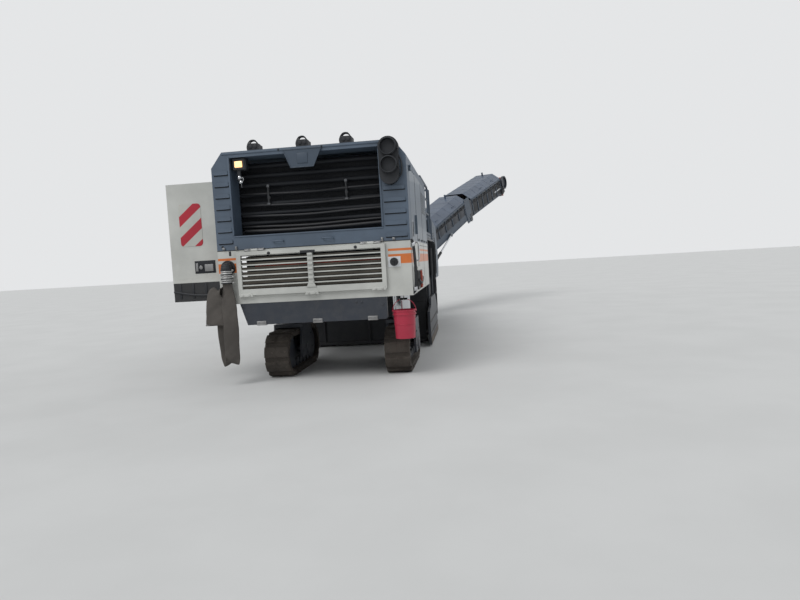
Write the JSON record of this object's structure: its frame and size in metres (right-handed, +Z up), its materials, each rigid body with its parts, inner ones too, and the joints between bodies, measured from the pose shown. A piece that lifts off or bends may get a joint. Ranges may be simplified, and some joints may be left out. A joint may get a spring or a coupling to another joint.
{
  "type": "cold planer milling machine",
  "caption": "Road milling machine on steered tracks with lifting columns, a milling drum under an open platform, a rear engine hood and a folding front discharge conveyor.",
  "frame": {"origin": "on the ground, under the middle of the whole machine's box with its conveyor slewed and its left door open", "axes": "+Y forward travel, towards the discharge conveyor; +X the machine's right; +Z up"},
  "size_m": [5.4178, 14.2615, 4.2523],
  "materials": {
    "charcoal_paint": "satin, worn",
    "hood_grey": "satin moulded panels",
    "cream_paint": "semi-gloss, dusty",
    "steel": "bare and oily",
    "black": "matt black",
    "dark_metal": "sooty",
    "track_steel": "earth-stained",
    "tool_steel": "worn, asphalt-stained",
    "belt_rubber": "dusty rubber",
    "lamp_glass": "lit lens",
    "orange_rubber": "matt",
    "canvas": "dusty woven sleeve",
    "bucket_red": "moulded",
    "seat_cover": "moulded cover"
  },
  "bodies": {
    "machine": {"main_frame": "charcoal_paint", "lashing_eyes": "charcoal_paint", "conveyor_mount": "charcoal_paint", "drum_housing": "charcoal_paint", "plate_cylinders": "dark_metal", "drum_drive_cover": "charcoal_paint", "primary_conveyor": "charcoal_paint", "primary_belt": "belt_rubber", "lower_body": "cream_paint", "rear_bumper": "charcoal_paint", "side_panels": "cream_paint", "engine_hood": "hood_grey", "intake_cooler": "dark_metal", "engine_block": "dark_metal", "exhaust_housing": "black", "badge_plate": "hood_grey", "roof_lights": "black", "work_lamp": "lamp_glass", "platform": "charcoal_paint", "guard_rails": "charcoal_paint", "consoles": "black", "operator_seats": "seat_cover", "ladders": "dark_metal", "front_body": "cream_paint", "hose_elbow": "black", "fill_hose": "canvas", "bucket": "bucket_red"},
    "leg_front_left": {"column_front_left": "steel"},
    "unit_front_left": {"yoke_front_left": "charcoal_paint", "track_front_left": "track_steel"},
    "leg_front_right": {"column_front_right": "steel"},
    "unit_front_right": {"yoke_front_right": "charcoal_paint", "track_front_right": "track_steel"},
    "leg_rear_left": {"column_rear_left": "steel"},
    "unit_rear_left": {"yoke_rear_left": "charcoal_paint", "track_rear_left": "track_steel"},
    "leg_rear_right": {"column_rear_right": "steel"},
    "unit_rear_right": {"yoke_rear_right": "charcoal_paint", "track_rear_right": "track_steel"},
    "drum": {"milling_drum": "tool_steel"},
    "scraper": {"scraper_blade": "steel"},
    "plate_left": {"side_plate_left": "charcoal_paint"},
    "plate_right": {"side_plate_right": "charcoal_paint"},
    "grille": {"grille_door": "cream_paint"},
    "door_left": {"left_door": "cream_paint"},
    "door_right": {"right_door": "cream_paint"},
    "slew": {"slew_bracket": "charcoal_paint"},
    "boom_lower": {"conveyor_lower": "charcoal_paint", "lower_belt": "belt_rubber", "lower_cover": "charcoal_paint"},
    "boom_upper": {"conveyor_upper": "charcoal_paint", "upper_belt": "belt_rubber", "upper_cover": "charcoal_paint", "head_flap": "orange_rubber"},
    "barrels": {"lift_barrels": "dark_metal"},
    "rods": {"lift_rods": "steel"}
  },
  "joints": [
    {"name": "lift_front_left", "type": "slide", "parent": "machine", "child": "leg_front_left", "axis": [0, 0, 1], "range_m": [-0.2, 0.36]},
    {"name": "steer_front_left", "type": "hinge", "parent": "leg_front_left", "child": "unit_front_left", "pos_m": [-1.29915, -0.43831, 0.7], "axis": [0, 0, 1], "range_deg": [-14, 14]},
    {"name": "lift_front_right", "type": "slide", "parent": "machine", "child": "leg_front_right", "axis": [0, 0, 1], "range_m": [-0.2, 0.36]},
    {"name": "steer_front_right", "type": "hinge", "parent": "leg_front_right", "child": "unit_front_right", "pos_m": [0.33085, -0.43831, 0.7], "axis": [0, 0, 1], "range_deg": [-14, 14]},
    {"name": "lift_rear_left", "type": "slide", "parent": "machine", "child": "leg_rear_left", "axis": [0, 0, 1], "range_m": [-0.2, 0.36]},
    {"name": "steer_rear_left", "type": "hinge", "parent": "leg_rear_left", "child": "unit_rear_left", "pos_m": [-1.29915, -5.83831, 0.7], "axis": [0, 0, 1], "range_deg": [-14, 14]},
    {"name": "lift_rear_right", "type": "slide", "parent": "machine", "child": "leg_rear_right", "axis": [0, 0, 1], "range_m": [-0.2, 0.36]},
    {"name": "steer_rear_right", "type": "hinge", "parent": "leg_rear_right", "child": "unit_rear_right", "pos_m": [0.33085, -5.83831, 0.7], "axis": [0, 0, 1], "range_deg": [-14, 14]},
    {"name": "drum_spin", "type": "hinge", "parent": "machine", "child": "drum", "pos_m": [-0.51415, -3.08831, 0.54], "axis": [1, 0, 0], "continuous": true},
    {"name": "scraper_lift", "type": "slide", "parent": "machine", "child": "scraper", "axis": [0, 0, 1], "range_m": [0, 0.36]},
    {"name": "plate_left_lift", "type": "slide", "parent": "machine", "child": "plate_left", "axis": [0, 0, 1], "range_m": [-0.05, 0.36]},
    {"name": "plate_right_lift", "type": "slide", "parent": "machine", "child": "plate_right", "axis": [0, 0, 1], "range_m": [-0.05, 0.36]},
    {"name": "grille_swing", "type": "hinge", "parent": "machine", "child": "grille", "pos_m": [-0.66415, -7.01831, 1.74], "axis": [-1, 0, 0], "range_deg": [0, 85]},
    {"name": "left_door_swing", "type": "hinge", "parent": "machine", "child": "door_left", "pos_m": [-1.90015, -6.67831, 2], "axis": [0, 0, 1], "range_deg": [-90, 0]},
    {"name": "right_door_swing", "type": "hinge", "parent": "machine", "child": "door_right", "pos_m": [0.63185, -6.67831, 2], "axis": [0, 0, 1], "range_deg": [-90, 0]},
    {"name": "conveyor_slew", "type": "hinge", "parent": "machine", "child": "slew", "pos_m": [-0.48415, 1.16169, 1], "axis": [0, 0, 1], "range_deg": [-25, 75]},
    {"name": "conveyor_lift", "type": "hinge", "parent": "slew", "child": "boom_lower", "pos_m": [-0.37849, 1.38827, 1.27901], "axis": [0.9063, -0.4226, 0], "range_deg": [-18, 6]},
    {"name": "conveyor_fold", "type": "hinge", "parent": "boom_lower", "child": "boom_upper", "pos_m": [0.997, 4.33802, 2.58049], "axis": [0.9063, -0.4226, 0], "range_deg": [-160, 0]},
    {"name": "barrel_tilt", "type": "hinge", "parent": "slew", "child": "barrels", "pos_m": [-0.32778, 1.49702, 0.99], "axis": [0.9063, -0.4226, 0], "range_deg": [-18.23, 6.41]},
    {"name": "rod_slide", "type": "slide", "parent": "barrels", "child": "rods", "axis": [0.3485, 0.7474, 0.5656], "range_m": [-0.1025, 0.0375]}
  ],
  "couplings": [
    {"joint": "steer_front_right", "follows": "steer_front_left", "ratio": 1},
    {"joint": "steer_rear_right", "follows": "steer_rear_left", "ratio": 1},
    {"joint": "barrel_tilt", "follows": "conveyor_lift", "ratio": 0.9848},
    {"joint": "rod_slide", "follows": "conveyor_lift", "m_per_rad": 0.3104}
  ]
}
